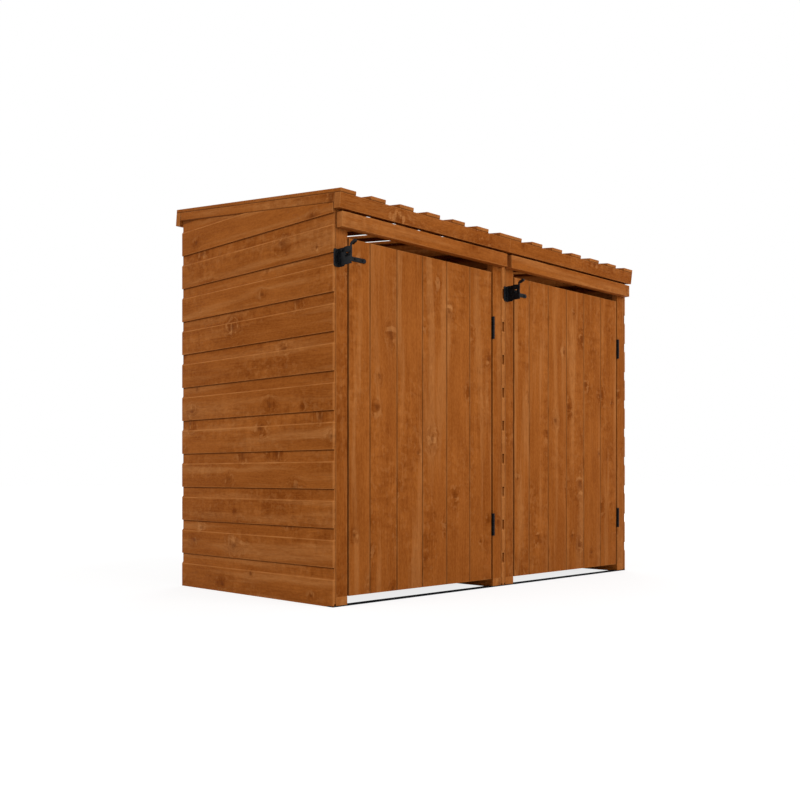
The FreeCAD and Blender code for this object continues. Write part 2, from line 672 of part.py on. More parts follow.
catch_screws = [again("catch_screw_%d" % number, catch_screw, "catch_screw_x", "0", height,
                      INTO_FRONT)
                for number, height in enumerate(catch_screw_heights, start=1)]
strap_screws = [again("strap_screw_%d" % number, strap_screw, x, "0", "rod_z", INTO_FRONT)
                for number, x in enumerate(strap_screw_places, start=1)]
one_for_both("frame_screws",
             catch_screws + hinge_screws("post_leaf_screw", "open_right", INTO_POST))
both("door_screws", strap_screws + hinge_screws("door_leaf_screw", "door_right", INTO_DOOR))

# One flat steel bar lies on the ground under the front of both stores.

bar = box("ground_bar", "-module_width", "front_y", "0", "2 * module_width", "bar_wide",
          "bar_thick")
NODES.append(bar)

doc.recompute()
broken = [item.Name for item in doc.Objects if "Invalid" in item.State or "Error" in item.State]
broken += [part.Label for part in NODES if part.Shape.isNull() or not part.Shape.isValid()]
if broken:
    raise SystemExit("not built: " + ", ".join(broken))

os.makedirs("parts", exist_ok=True)
for part in NODES:
    part.Shape.exportStep("parts/%s.step" % part.Label)
    solids = part.Shape.Solids
    print("%-28s %2d solids %10.0f mm3" % (part.Label, len(solids), sum(s.Volume for s in solids)))
extent = Part.makeCompound([part.Shape for part in NODES]).BoundBox
print("x %.2f to %.2f, y %.2f to %.2f, z %.2f to %.2f"
      % (extent.XMin, extent.XMax, extent.YMin, extent.YMax, extent.ZMin, extent.ZMax))
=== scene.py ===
# %% [markdown]
# # A timber store for two wheelie bins
# Two equal stores stand side by side on one steel bar. Each has shiplap walls, a slatted roof that
# falls to the front, and a tongued and grooved door with butt hinges and a black gate latch.
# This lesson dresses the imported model: it eases the edges of the timber and the steel, gives every
# board its own stained grain, models the screws with driving recesses, and lights the store plainly.
#
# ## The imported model
# The frame comes first. All pieces are in metres: X runs along the front, Y to the back, Z up.

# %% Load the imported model
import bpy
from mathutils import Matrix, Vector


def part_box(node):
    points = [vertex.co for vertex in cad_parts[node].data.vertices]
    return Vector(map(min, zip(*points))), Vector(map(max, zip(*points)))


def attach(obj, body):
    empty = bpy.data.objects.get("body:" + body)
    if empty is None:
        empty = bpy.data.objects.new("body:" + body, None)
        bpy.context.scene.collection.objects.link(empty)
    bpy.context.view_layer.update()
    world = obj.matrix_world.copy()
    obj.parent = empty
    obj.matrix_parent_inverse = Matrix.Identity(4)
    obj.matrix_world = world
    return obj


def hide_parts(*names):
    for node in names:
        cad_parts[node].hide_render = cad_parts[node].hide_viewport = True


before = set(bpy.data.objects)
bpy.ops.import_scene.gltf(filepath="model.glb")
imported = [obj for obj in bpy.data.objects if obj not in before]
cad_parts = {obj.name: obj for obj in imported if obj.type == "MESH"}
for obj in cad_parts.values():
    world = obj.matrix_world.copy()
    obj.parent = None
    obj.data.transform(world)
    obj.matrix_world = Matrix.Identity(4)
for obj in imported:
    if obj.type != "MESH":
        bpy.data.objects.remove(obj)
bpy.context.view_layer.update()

# %% Tools of the lesson
import math
import random
from contextlib import contextmanager

import bpy
from mathutils import Matrix, Vector

STORE_WIDE = 0.78
STORES = {"left": -STORE_WIDE, "right": 0.0}        # where each store's left edge is along X
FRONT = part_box("left_header_rail")[1].y             # the faces of the posts and of the doors
scene = bpy.context.scene
print("front of the posts: y = %.4f m" % FRONT)

# %% [markdown]
# ## Camera
# The store is seen from its front left corner, from knee height. The camera is level, so upright
# edges stay upright, and a small lens shift brings the store to the middle of the frame.

# %% Camera
EYE = (-2.6059, FRONT - 2.0888, 0.3789)
TURN = -45.15                                       # degrees from looking straight at the doors
LENS, SENSOR = 43.2225, 36                          # millimetres
SHIFT = 0.09515                                     # in widths of the frame

camera_data = bpy.data.cameras.new("camera")
camera_data.sensor_width = SENSOR
camera_data.lens = LENS
camera_data.shift_y = SHIFT
camera = bpy.data.objects.new("camera", camera_data)
camera.location = EYE
camera.rotation_euler = (math.radians(90), 0, math.radians(TURN))
scene.collection.objects.link(camera)
scene.camera = camera
scene.view_settings.view_transform = "Standard"
print("lens %.1f mm" % camera_data.lens)

# %% [markdown]
# ## Sums on sockets
# A finish is drawn as a sum of patterns. Wiring each Math node by hand hides the sum, so a small
# class wraps a socket: Python's own operators then add the Math nodes, and `1 - mask` reads as it
# does on paper. Every other kind of node comes from one method of the finish.


# %% A value that varies over a surface
class Field:
    """A socket that Python can do sums with."""

    def __init__(self, finish, socket):
        self.finish = finish
        self.socket = socket

    def maths(self, operation, *values):
        return self.finish.node("Math", {"operation": operation}, dict(enumerate(values)))["Value"]

    def __add__(self, other):
        return self.maths("ADD", self, other)

    def __sub__(self, other):
        return self.maths("SUBTRACT", self, other)

    def __rsub__(self, other):
        return self.maths("SUBTRACT", other, self)

    def __mul__(self, other):
        return self.maths("MULTIPLY", self, other)

    def __truediv__(self, other):
        return self.maths("DIVIDE", self, other)

    __radd__ = __add__
    __rmul__ = __mul__

    def size(self):
        return self.maths("ABSOLUTE", self)

    def at_least(self, other):
        return self.maths("MAXIMUM", self, other)

    def at_most(self, other):
        return self.maths("MINIMUM", self, other)

    def fraction(self):
        return self.maths("FRACT", self)

    def from_to(self, start, end):
        """0 up to start, 1 from end on, and a soft step between them."""
        return self.finish.node("MapRange", {"interpolation_type": "SMOOTHSTEP"},
                                {"Value": self, "From Min": start, "From Max": end})["Result"]

    def near(self, start, end):
        """1 up to start, 0 from end on."""
        return 1 - self.from_to(start, end)


# %% A finish
class Finish:
    """The nodes of a material, or of the sky, and the methods that add to them."""

    def __init__(self, owner, shader="Principled BSDF"):
        owner.use_nodes = True
        self.tree = owner.node_tree
        self.shader = self.tree.nodes[shader]

    def node(self, kind, settings, values):
        """Adds a node: its settings first, then its sockets. Returns its outputs by name."""
        made = self.tree.nodes.new("ShaderNode" + kind)
        for name, setting in settings.items():
            setattr(made, name, setting)
        sockets = [socket for socket in made.inputs if socket.enabled]
        for name, value in values.items():
            place = name if isinstance(name, int) else [s.name for s in sockets].index(name)
            self.feed(sockets[place], value)
        return {out.name: Field(self, out) for out in made.outputs if out.enabled}

    def feed(self, socket, value):
        if isinstance(value, Field):
            self.tree.links.new(value.socket, socket)
        else:
            socket.default_value = value

    def set(self, values):
        """Sets or feeds the shader's own sockets."""
        for name, value in values.items():
            self.feed(self.shader.inputs[name], value)

    def mix(self, share, first, second):
        """A colour on the way from the first to the second."""
        return self.node("Mix", {"data_type": "RGBA"},
                         {"Factor": share, "A": first, "B": second})["Result"]

    def vector(self, operation, *values):
        return self.node("VectorMath", {"operation": operation}, dict(enumerate(values)))["Vector"]

    def length(self, x, y):
        flat = self.node("CombineXYZ", {}, {0: x, 1: y})["Vector"]
        return self.node("VectorMath", {"operation": "LENGTH"}, {0: flat})["Value"]

    def parts(self, vector):
        return list(self.node("SeparateXYZ", {}, {0: vector}).values())

    def noise(self, vector, scale, detail):
        """A soft random pattern from 0 to 1. The scale is in spots per metre along X, Y and Z."""
        return self.node("TexNoise", {}, {"Vector": self.vector("MULTIPLY", vector, scale),
                                          "Scale": 1.0, "Detail": detail})["Fac"]

    def bump(self, height, strength, distance):
        return self.node("Bump", {}, {"Height": height, "Strength": strength,
                                      "Distance": distance})["Normal"]


# %% [markdown]
# ## Stained softwood
# The boards are dip-stained spruce: a warm chestnut brown, with smudged knots, darker and paler
# patches and milky bands where the wood drank less. A picture of wood could be wrapped round each
# board, but it would repeat, and its ends wouldn't match its faces. A pattern in space fits them
# all. On Object coordinates it would run on from board to board, so each board carries its own
# map, which a later section writes: `grain` holds the distances along, across and outwards from
# the middle of the board, `half` holds half its length, width and thickness, and `lot` three
# random numbers.
#
# Knots sit in cells of their own and push the grain aside. Their rims are blurred by a noise, or
# they would look like drilled dots.

# %% Knots
KNOTS_ALONG, KNOTS_ACROSS = 3.6, 9.0                # cells per metre, with room for one knot each
CELLS_SHIFT = (31.0, 17.0)                          # moves the cells from board to board
CELLS_SPREAD = 0.8                                  # how far a knot may stray inside its cell
KNOT_DRAW = (0.32, 0.36)                            # cells that draw less than this stay clear
KNOT_GROWS, KNOT_LESS, KNOT_LEAST = 0.0120, 0.0010, 0.001       # from the draw to its radius
KNOT_SLIM = 0.7                                     # below 1, knots are longer along the board
BLUR_SPOTS, BLUR = (80.0, 80.0, 80.0), 3.0
CORE, HALO = (0.0, 1.5), (0.4, 5.0)                 # where each fades out, in radii of the knot


def knots(wood, grain, along, across, lot):
    """The cores of the knots, the wood round them, and the distance across from each knot."""
    place = wood.node("CombineXYZ", {}, {0: along * KNOTS_ALONG + lot[0] * CELLS_SHIFT[0],
                                         1: across * KNOTS_ACROSS + lot[1] * CELLS_SHIFT[1]})["Vector"]
    cell = wood.node("TexVoronoi", {"voronoi_dimensions": "2D"},
                     {"Vector": place, "Scale": 1.0, "Randomness": CELLS_SPREAD})["Position"]
    off = wood.parts(wood.vector("SUBTRACT", place, cell))
    beside = off[1] / KNOTS_ACROSS
    draw = wood.node("TexWhiteNoise", {"noise_dimensions": "2D"}, {"Vector": cell})["Value"]
    radius = (draw * KNOT_GROWS - KNOT_LESS).at_least(KNOT_LEAST)
    blur = wood.noise(grain, BLUR_SPOTS, 3.0) * BLUR - BLUR / 2
    spread = wood.length(off[0] / KNOTS_ALONG * KNOT_SLIM, beside) / radius + blur
    there = draw.from_to(*KNOT_DRAW)
    return spread.near(*CORE) * there, spread.near(*HALO) * there, beside


print("room for %.0f knots a square metre" % (KNOTS_ALONG * KNOTS_ACROSS))

# %% [markdown]
# The rings are drawn as real ones are, as tubes round a pith that lies behind the board's middle,
# so that the faces, edges and ends of a board agree. The pith wanders slowly and leans along the
# board, which opens the long arches of flat-sawn wood.

# %% Growth rings
RING_WIDE = 0.0042
PITH_BEHIND, PITH_DEEPER = 0.018, 0.06              # its least depth, and what the lot adds
PITH_ASIDE, PITH_LEAN = 0.09, 0.06                  # ranges: to the sides, and per metre along
SLOW_SPOTS, SLOW_SWAY = (1.6, 4.0, 4.0), 0.08
QUICK_SPOTS, QUICK_SWAY = (3.5, 16.0, 16.0), 0.024
LATE_GROWS, LATE_ENDS = (0.2, 0.8), (0.84, 1.0)     # in shares of a ring's width


def rings(wood, spot, along, across, outwards, lot):
    """Soft bands of late wood, from 0 to 1."""
    slow = wood.noise(spot, SLOW_SPOTS, 1.0)
    quick = wood.noise(spot, QUICK_SPOTS, 2.0)
    sideways = across + (lot[0] - 0.5) * PITH_ASIDE + (slow - 0.5) * SLOW_SWAY
    inwards = outwards + PITH_BEHIND + lot[1] * PITH_DEEPER + along * (lot[2] - 0.5) * PITH_LEAN
    radius = wood.length(sideways, inwards + (quick - 0.5) * QUICK_SWAY)
    turn = (radius / RING_WIDE).fraction()
    return turn.from_to(*LATE_GROWS) * turn.near(*LATE_ENDS)


print("rings %.1f mm apart" % (1000 * RING_WIDE))

# %% [markdown]
# The stain takes unevenly. Wide clouds, fine streaks, fibres and small flecks are noises stretched
# along the grain. The figure is a noise squeezed along the grain instead: the ripple of wood that
# grew under load, which shows as soft bars across a board, mostly near knots, with thin dark wisps
# and creases. Together they choose a place between a dark and a pale brown, and milky bands and
# flames come on top. One table holds what the patterns are made from. The wisps are lines, so
# they are made apart.

# %% Patterns of the stain
PATTERNS = {
    # spots per metre along, across and through the board; detail; the noise that gives 0 and 1
    "cloud": ((4.6, 16.0, 16.0), 3.0, (0.30, 0.70)),
    "streak": ((2.0, 140.0, 140.0), 2.0, (0.30, 0.70)),
    "fibre": ((30.0, 800.0, 800.0), 3.0, (0.34, 0.66)),
    "fleck": ((90.0, 170.0, 170.0), 2.0, (0.34, 0.66)),
    "load": ((2.6, 9.0, 9.0), 1.0, (0.42, 0.60)),
    "figure": ((34.0, 12.0, 12.0), 2.0, (0.34, 0.66)),
    "crease": ((190.0, 30.0, 30.0), 1.0, (0.58, 0.70)),
    "band": ((1.5, 24.0, 24.0), 3.0, (0.48, 0.66)),
    "flame": ((48.0, 60.0, 60.0), 2.0, (0.52, 0.64)),
    # the pale arrises vary with this: partly wear, partly painted highlight
    "rub_and_sheen": ((12.0, 50.0, 50.0), 3.0, (0.30, 0.70)),
}
WISP_SPOTS, WISP_WIDE = (24.0, 9.0, 9.0), 0.065     # wisps are the lines where a noise is at 0.5


def pattern(wood, spot, name):
    """One pattern of the stain, from 0 to 1."""
    spots, detail, contrast = PATTERNS[name]
    return wood.noise(spot, spots, detail).from_to(*contrast)


print("patterns:", ", ".join(PATTERNS))

# %% [markdown]
# The number after each pattern is its weight in the mix. A pattern less 0.5 darkens as much as it
# lightens, and one with a minus before it only darkens.

# %% Browns
DARK_BROWN = (0.205, 0.0455, 0.0022, 1)
PALE_BROWN = (0.400, 0.121, 0.0195, 1)
# milky stain, and also painted highlights at the ends of wall boards and beside door joints
MILKY_AND_HIGHLIGHT_BROWN = (0.505, 0.202, 0.0580, 1)
KNOT_BROWN = (0.145, 0.032, 0.0015, 1)
# painted shade in seams, laps and joints, with some stain and dust
DUST_AND_SHADE_BROWN = (0.075, 0.019, 0.0020, 1)
# rubbed arrises, and painted highlights along edges
WORN_AND_HIGHLIGHT_BROWN = (0.525, 0.196, 0.0500, 1)


def stain(wood, spot, lot, late, core, halo, tone):
    """The colour of the open wood, and the relief of its grain."""
    cloud = pattern(wood, spot, "cloud")
    streak = pattern(wood, spot, "streak")
    fibre = pattern(wood, spot, "fibre")
    fleck = pattern(wood, spot, "fleck") - 0.5
    loaded = pattern(wood, spot, "load") * 0.8 + halo * 0.5
    figure = pattern(wood, spot, "figure") - 0.5
    wisp = (wood.noise(spot, WISP_SPOTS, 3.0) - 0.5).size().near(0.0, WISP_WIDE) * loaded
    crease = pattern(wood, spot, "crease") * halo
    shade = cloud * 0.30 + streak * 0.16 + fibre * 0.16 + lot[2] * 0.14 + tone
    shade = (shade + fleck * 0.22 + figure * loaded * 0.30 - late * 0.11 - halo * 0.32
             - crease * 0.25 - wisp * 0.20)
    band = pattern(wood, spot, "band")
    flame = pattern(wood, spot, "flame") * (halo + loaded * 0.6)
    colour = wood.mix(shade, DARK_BROWN, PALE_BROWN)
    milky = band * (fibre * 0.3 + lot[2] * 0.26 + 0.10) + flame * 0.38
    colour = wood.mix(milky, colour, MILKY_AND_HIGHLIGHT_BROWN)
    colour = wood.mix(core * 0.65, colour, KNOT_BROWN)
    return colour, fibre * 0.35 + streak * 0.2 - late * 0.3 - core * 0.5


print("open wood from %.2f to %.2f red" % (DARK_BROWN[0], PALE_BROWN[0]))

# %% [markdown]
# Edges tell how a board was handled, and where the light catches it. The outer arrises are pale:
# partly rubbed wear, and partly a painted highlight where an eased edge catches the light. Sawn
# ends are dull and a little milky. Where a board lies on its neighbour, the last millimetres of its
# sides before its inner face are dark: partly stain and dust in the seam, and partly painted shade.
# The maps give the distance to every edge, so no mask has to be painted.

# %% Edges
# Each pair says how far from an edge a mark is whole, and where it has faded out.
# pale arrises are partly wear and partly painted highlight; dark seams are painted shade with some
# dust
ARRIS_RUB_AND_HIGHLIGHT, CORNER_RUB_AND_HIGHLIGHT = (0.0006, 0.0024), (0.0006, 0.0022)
SAWN_END = (0.0002, 0.0008)
SEAM_SHADE_SIDES, SEAM_SHADE_DEPTH = (0.0010, 0.0020), (0.0012, 0.0034)


def edge_marks(wood, colour, rub_and_sheen, to_end, to_side, outwards, thick):
    """Paints the outer arrises of a board pale, as wear and painted highlight, and darkens its seams
    with painted shade and some dust.
    """
    rim = to_end.at_most(to_side)
    to_front, to_back = thick - outwards, thick + outwards
    corner = to_end.near(*CORNER_RUB_AND_HIGHLIGHT) * to_side.near(*CORNER_RUB_AND_HIGHLIGHT)
    arris = (rim.near(*ARRIS_RUB_AND_HIGHLIGHT) * to_front.near(*ARRIS_RUB_AND_HIGHLIGHT)).at_least(corner)
    colour = wood.mix(to_end.near(*SAWN_END) * 0.22, colour, MILKY_AND_HIGHLIGHT_BROWN)
    # pale arrises: partly wear, partly a painted highlight
    colour = wood.mix(arris * (rub_and_sheen * 0.45 + 0.15), colour, WORN_AND_HIGHLIGHT_BROWN)
    # dark seams: painted shade, with some stain and dust
    return wood.mix(rim.near(*SEAM_SHADE_SIDES) * to_back.near(*SEAM_SHADE_DEPTH) * 0.7, colour, DUST_AND_SHADE_BROWN)


print("arrises rubbed over %.1f mm" % (1000 * ARRIS_RUB_AND_HIGHLIGHT[1]))

# %% [markdown]
# Wall boards have a profile: a flat face, a slope above it, and a hollow that runs up under the
# next board. The arris between face and slope gets a pale line, a painted highlight, and the ends of
# the boards a faint one too. A dark line sits in the corner under the next board's lip: painted
# shadow, with some dust and damp. Door boards get the same dark line of painted shade on both sides
# of their V joints, with a faint painted highlight beside it.

# %% Laps and joints
LAP_FACE, LAP_COVER = 0.078, 0.114                  # heights of the arris and of the next board
# the arris and end lines are painted highlights; the band under the lip is painted shadow
LAP_HIGHLIGHT, LAP_END_HIGHLIGHT = (0.0004, 0.0026), (0.0012, 0.0032)
LAP_DUST_AND_SHADOW = (LAP_COVER - 0.0065, LAP_COVER - 0.0005)
# a painted highlight beside each V joint, and painted shade in it
JOINT_HIGHLIGHT, JOINT_DUST_AND_SHADE = (0.0030, 0.0070), (0.0016, 0.0030)


def lap_marks(wood, colour, rub_and_sheen, to_end, to_side, height):
    """The lines along a wall board, by the height above its lower edge."""
    # a pale line on the arris between face and slope: a painted highlight
    arris = (height - LAP_FACE).size().near(*LAP_HIGHLIGHT)
    # a dark band up to the next board's lip: painted shadow, with some dust
    under = height.from_to(*LAP_DUST_AND_SHADOW)
    # a pale strip at the ends of the board: a painted highlight
    colour = wood.mix(to_end.near(*LAP_END_HIGHLIGHT) * 0.16, colour, MILKY_AND_HIGHLIGHT_BROWN)
    colour = wood.mix(arris * (rub_and_sheen * 0.45 + 0.22), colour, WORN_AND_HIGHLIGHT_BROWN)
    return wood.mix(under * 0.70, colour, DUST_AND_SHADE_BROWN)


def joint_marks(wood, colour, rub_and_sheen, to_end, to_side, height):
    """The lines along a door board, by the distance to its nearer side."""
    # a faint pale strip beside the joint: a painted highlight
    colour = wood.mix(to_side.near(*JOINT_HIGHLIGHT) * rub_and_sheen * 0.30, colour, MILKY_AND_HIGHLIGHT_BROWN)
    # a dark line in the V joint: painted shade, with some dust
    return wood.mix(to_side.near(*JOINT_DUST_AND_SHADE) * 0.80, colour, DUST_AND_SHADE_BROWN)


print("laps every %.0f mm" % (1000 * LAP_COVER))

# %% [markdown]
# One recipe serves all the timber. The four finishes differ in their tone and in the marks along
# their boards, which are drawn on the outer half of a board only. The wood is nearly matt.

# %% Stained timber
GRAIN_GIVES = 0.85                                  # at 1 a knot would push all other grain aside
BOARDS_APART = (37.0, 41.0, 43.0)                   # moves the patterns from board to board
OUTER_HALF = (0.0, 0.0005)
WOOD_ROUGH, WOOD_GLOSS = 0.74, 0.05
RELIEF, RELIEF_DEEP = 0.35, 0.0006


def stained_timber(name, tone, marks=None):
    """A finish for boards that carry the maps grain, half and lot. A higher tone is paler."""
    material = bpy.data.materials.new(name)
    wood = Finish(material)
    grain, half, lots = (wood.node("Attribute", {"attribute_name": word}, {})["Vector"]
                         for word in ("grain", "half", "lot"))
    along, across, outwards = wood.parts(grain)
    long, wide, thick = wood.parts(half)
    lot = wood.parts(lots)
    core, halo, beside = knots(wood, grain, along, across, lot)
    bent = across - beside * halo * GRAIN_GIVES
    pushed = wood.node("CombineXYZ", {}, {0: along, 1: bent, 2: outwards})["Vector"]
    spot = wood.vector("MULTIPLY_ADD", lots, BOARDS_APART, pushed)
    late = rings(wood, spot, along, bent, outwards, lot)
    colour, relief = stain(wood, spot, lot, late, core, halo, tone)
    rub_and_sheen = pattern(wood, spot, "rub_and_sheen")
    to_end = (long - along.size()).size()
    to_side = (wide - across.size()).size()
    # the marks and edges paint highlights and shade as well as wear and dust
    if marks:
        marked = marks(wood, colour, rub_and_sheen, to_end, to_side, across + wide)
        colour = wood.mix(outwards.from_to(*OUTER_HALF), colour, marked)
    colour = edge_marks(wood, colour, rub_and_sheen, to_end, to_side, outwards, thick)
    wood.set({"Base Color": colour, "Roughness": WOOD_ROUGH - core * 0.1 - late * 0.05,
              "Normal": wood.bump(relief, RELIEF, RELIEF_DEEP), "Specular IOR Level": WOOD_GLOSS})
    return material


TIMBER = {
    "wall_boards": stained_timber("stained wall boards", tone=0.25, marks=lap_marks),
    "door_boards": stained_timber("stained door boards", tone=0.245, marks=joint_marks),
    "roof_slats": stained_timber("stained roof slats", tone=0.22),
    "framing_timber": stained_timber("stained framing timber", tone=0.215),
}
print("timber finishes:", len(TIMBER))

# %% [markdown]
# ## Black steel
# Hinges, latch, screws and ground bar are powder-coated black. A plain black would look like a
# hole in the door. The real coat is a soft orange peel, a little bluish where it catches light,
# with dust in its rougher spots and some thin rubs. Those paler spots and rubs in its colour are
# partly dust and wear and partly a painted sheen. It has no grain, so Object coordinates serve it
# well.

# %% Black steel
COAT_BLACK = (0.0030, 0.0036, 0.0048, 1)
# the paler coats: dust and rubs, which also carry a painted sheen
COAT_DUST_AND_SHEEN = (0.020, 0.021, 0.023, 1)
COAT_RUB_AND_SHEEN = (0.034, 0.037, 0.042, 1)
PEEL_SPOTS, PEEL, PEEL_DEEP = (1400.0, 1400.0, 1400.0), 0.25, 0.0002
FILM_SPOTS, FILM = (90.0, 90.0, 90.0), (0.40, 0.70)
RUB_SPOTS, RUB = (600.0, 200.0, 200.0), (0.60, 0.70)
COAT_GLOSS = 0.10


def black_steel(name, dust_and_sheen, roughness):
    """A powder coat that reads Object coordinates."""
    material = bpy.data.materials.new(name)
    steel = Finish(material)
    place = steel.node("TexCoord", {}, {})["Object"]
    peel = steel.noise(place, PEEL_SPOTS, 1.0)
    film_and_sheen = steel.noise(place, FILM_SPOTS, 3.0).from_to(*FILM)
    rub_and_sheen = steel.noise(place, RUB_SPOTS, 2.0).from_to(*RUB)
    # dusty spots: partly real dust, partly a painted sheen
    colour = steel.mix(film_and_sheen * dust_and_sheen, COAT_BLACK, COAT_DUST_AND_SHEEN)
    # thin rubs: partly wear, partly a painted sheen
    colour = steel.mix(rub_and_sheen * 0.4, colour, COAT_RUB_AND_SHEEN)
    steel.set({"Base Color": colour, "Roughness": roughness + film_and_sheen * 0.14 - rub_and_sheen * 0.08,
               "Normal": steel.bump(peel, PEEL, PEEL_DEEP), "Specular IOR Level": COAT_GLOSS})
    return material


STEEL = {
    "hinge_steel": black_steel("black hinge steel", dust_and_sheen=0.25, roughness=0.42),
    "latch_steel": black_steel("black latch steel", dust_and_sheen=0.35, roughness=0.38),
    "screws": black_steel("black screws", dust_and_sheen=0.25, roughness=0.36),
    "steel_bar": black_steel("black bar steel", dust_and_sheen=0.10, roughness=0.70),
}
print("steel finishes:", len(STEEL))

# %% [markdown]
# ## Boards
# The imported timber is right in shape, but its edges are as sharp as glass. Real timber leaves the
# planer with its arrises eased by a millimetre, and those thin edges catch the light. So each
# timber node is copied, its loose triangles are merged into clean faces, and it is split into its
# boards. Each board gets a narrow bevel and its own grain map, and the boards are joined again
# into one piece that stands for the node.
#
# An operator acts on all that is selected, so the first helpers deselect everything, and then pick
# faces and edges by their place or by the way they look.

# %% Selecting


def only(*pieces):
    """Selects these pieces and nothing else."""
    bpy.ops.object.select_all(action="DESELECT")
    for piece in pieces:
        piece.select_set(True)
    bpy.context.view_layer.objects.active = pieces[0]


@contextmanager
def editing(piece, kind="FACE"):
    """Edit mode on one piece, with its faces or edges in hand."""
    only(piece)
    scene.tool_settings.mesh_select_mode = [kind == word for word in ("VERT", "EDGE", "FACE")]
    bpy.ops.object.mode_set(mode="EDIT")
    yield
    bpy.ops.object.mode_set(mode="OBJECT")


def pick_faces(mesh, wanted):
    """Selects the faces that satisfy a rule and nothing else. The mesh is in object mode."""
    for part in list(mesh.vertices) + list(mesh.edges):
        part.select = False
    for face in mesh.polygons:
        face.select = wanted(face)


def pick_edges(mesh, wanted):
    """Selects the edges whose two ends satisfy a rule. The mesh is in object mode."""
    for part in list(mesh.vertices) + list(mesh.polygons):
        part.select = False
    for edge in mesh.edges:
        edge.select = all(wanted(mesh.vertices[end].co) for end in edge.vertices)


# %% Copying and easing
SAME = 0.00001                                      # points nearer than this are one
FLAT, SHARP, SMOOTH = (math.radians(angle) for angle in (0.5, 30, 35))


def clean_copy(node):
    """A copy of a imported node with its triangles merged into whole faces."""
    piece = bpy.data.objects.new(node + "_eased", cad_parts[node].data.copy())
    scene.collection.objects.link(piece)
    only(piece)
    bpy.ops.mesh.customdata_custom_splitnormals_clear()
    with editing(piece):
        bpy.ops.mesh.select_all(action="SELECT")
        bpy.ops.mesh.remove_doubles(threshold=SAME)
        bpy.ops.mesh.dissolve_limited(angle_limit=FLAT)
    return piece


def ease(piece, width):
    """Rounds every sharp edge of a piece, and drops the faces of no area that this leaves."""
    only(piece)
    soft = piece.modifiers.new("eased edges", "BEVEL")
    soft.width = width
    soft.segments = 2
    soft.limit_method = "ANGLE"
    soft.angle_limit = SHARP
    bpy.ops.object.modifier_apply(modifier=soft.name)
    with editing(piece):
        bpy.ops.mesh.select_all(action="SELECT")
        bpy.ops.mesh.dissolve_degenerate(threshold=SAME)
    bpy.ops.object.shade_smooth_by_angle(angle=SMOOTH)


def finish_piece(piece, material, body, slot, *nodes):
    """Gives a piece its finish and its body, and hides the nodes that it stands for."""
    piece.data.materials.clear()
    piece.data.materials.append(material)
    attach(piece, body)
    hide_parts(*nodes)


# %% [markdown]
# The map of a board is worked out from its own mesh. The grain follows its longest edge, or lies
# level in a wall, where the roof's slope gives some boards a longer slanting edge. `out` says which
# way the board's good face looks. Length and width are measured on the skin just behind that face,
# so that tongues and lap joints don't count.

# %% Grain maps
SKIN = 0.3                                          # as a share of the thickness
ENDWAYS = 0.5                                       # a normal that reaches this looks along the board
UP = Vector((0, 0, 1))
draws = random.Random(11)


def map_grain(board, out, level=False, shade=None):
    """Writes a board's grain, half and lot maps. A shade of 0.5 is plain, and less is darker."""
    mesh = board.data
    points = [vertex.co.copy() for vertex in mesh.vertices]
    sides = [points[b] - points[a] for a, b in (edge.vertices for edge in mesh.edges)]
    along = out.cross(UP) if level else max(sides, key=lambda side: side.length).normalized()
    faces = [face for face in mesh.polygons if abs(face.normal.dot(along)) < ENDWAYS]
    through = max(faces, key=lambda face: face.area).normal.copy()
    if through.dot(out) < 0:
        through.negate()
    if through.cross(along).z < 0:
        along.negate()
    turned = [Matrix((along, through.cross(along), through)) @ point for point in points]
    back = min(point.z for point in turned)
    front = max(point.z for point in turned)
    skin = [point for point in turned if point.z > front - SKIN * (front - back)]
    low = Vector((min(p.x for p in skin), min(p.y for p in skin), back))
    high = Vector((max(p.x for p in skin), max(p.y for p in skin), front))
    lot = Vector(draws.random() for _ in range(3))
    if shade is not None:
        lot.z = shade
    maps = {"grain": [point - (low + high) / 2 for point in turned],
            "half": [(high - low) / 2] * len(points), "lot": [lot] * len(points)}
    for name, values in maps.items():
        layer = mesh.attributes.new(name, "FLOAT_VECTOR", "POINT")
        layer.data.foreach_set("vector", [number for value in values for number in value])


# %% [markdown]
# The boards of a node are sorted by their places before they draw their lots, so that each board
# looks the same on every run.

# %% One timber node
TIMBER_EDGE = 0.0010


def timber_piece(node, body, slot, out, level=False, shade=None):
    """One timber node, board by board. Returns how many boards it has."""
    piece = clean_copy(node)
    with editing(piece):
        bpy.ops.mesh.select_all(action="SELECT")
        bpy.ops.mesh.separate(type="LOOSE")
    boards = sorted(bpy.context.selected_objects, key=lambda board: [
        round(v, 4) for v in sum((vertex.co for vertex in board.data.vertices), Vector())])
    for board in boards:
        ease(board, TIMBER_EDGE)
        map_grain(board, Vector(out), level, shade)
    only(piece, *boards)
    bpy.ops.object.join()
    finish_piece(piece, TIMBER[slot], body, slot, node)
    return len(boards)


# %% [markdown]
# Each kind of timber only needs the way its good face looks: forwards, upwards, backwards or to
# one side. The front posts and the front rails of the roof are drawn a little darker than the
# rest, and the header rails a little paler.

